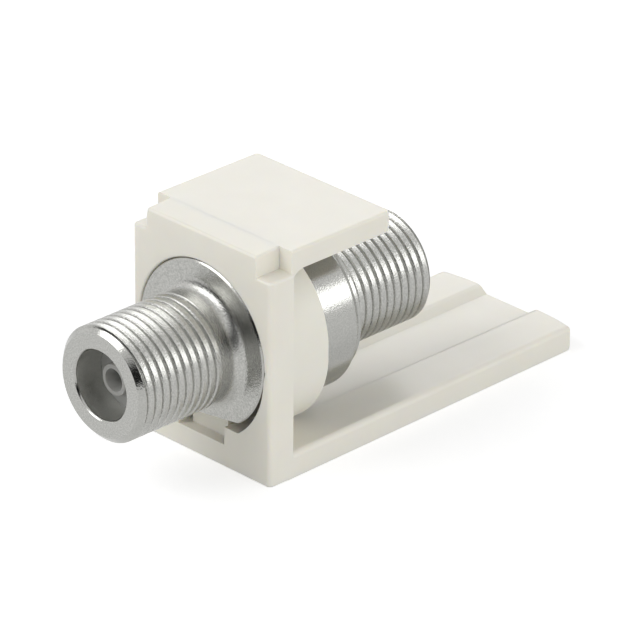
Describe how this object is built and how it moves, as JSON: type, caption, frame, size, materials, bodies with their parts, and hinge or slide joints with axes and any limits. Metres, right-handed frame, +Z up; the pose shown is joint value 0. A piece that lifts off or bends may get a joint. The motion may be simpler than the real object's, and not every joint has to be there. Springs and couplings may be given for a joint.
{
  "type": "f coaxial coupler module",
  "caption": "Snap-in panel module that joins two coaxial cables, with a threaded F port at each end of a plated metal coupler in an ivory moulded housing.",
  "frame": {"origin": "middle of the footprint, on the flat underside of the tongue", "axes": "+Y along the coupler from the front port to the rear port, +Z up, X across the plate"},
  "size_m": [0.0154, 0.045, 0.0194],
  "materials": {
    "ivory_plastic": "moulded ivory plastic, soft gloss",
    "nickel_plate": "bright nickel plating over brass, fine satin grain",
    "dielectric": "translucent grey-white dielectric plastic",
    "contact_metal": "plated spring bronze"
  },
  "bodies": {
    "root": {"housing": "ivory_plastic", "front_body": "nickel_plate", "rear_port": "nickel_plate", "front_insulator": "dielectric", "rear_insulator": "dielectric", "contact": "contact_metal"}
  },
  "joints": []
}
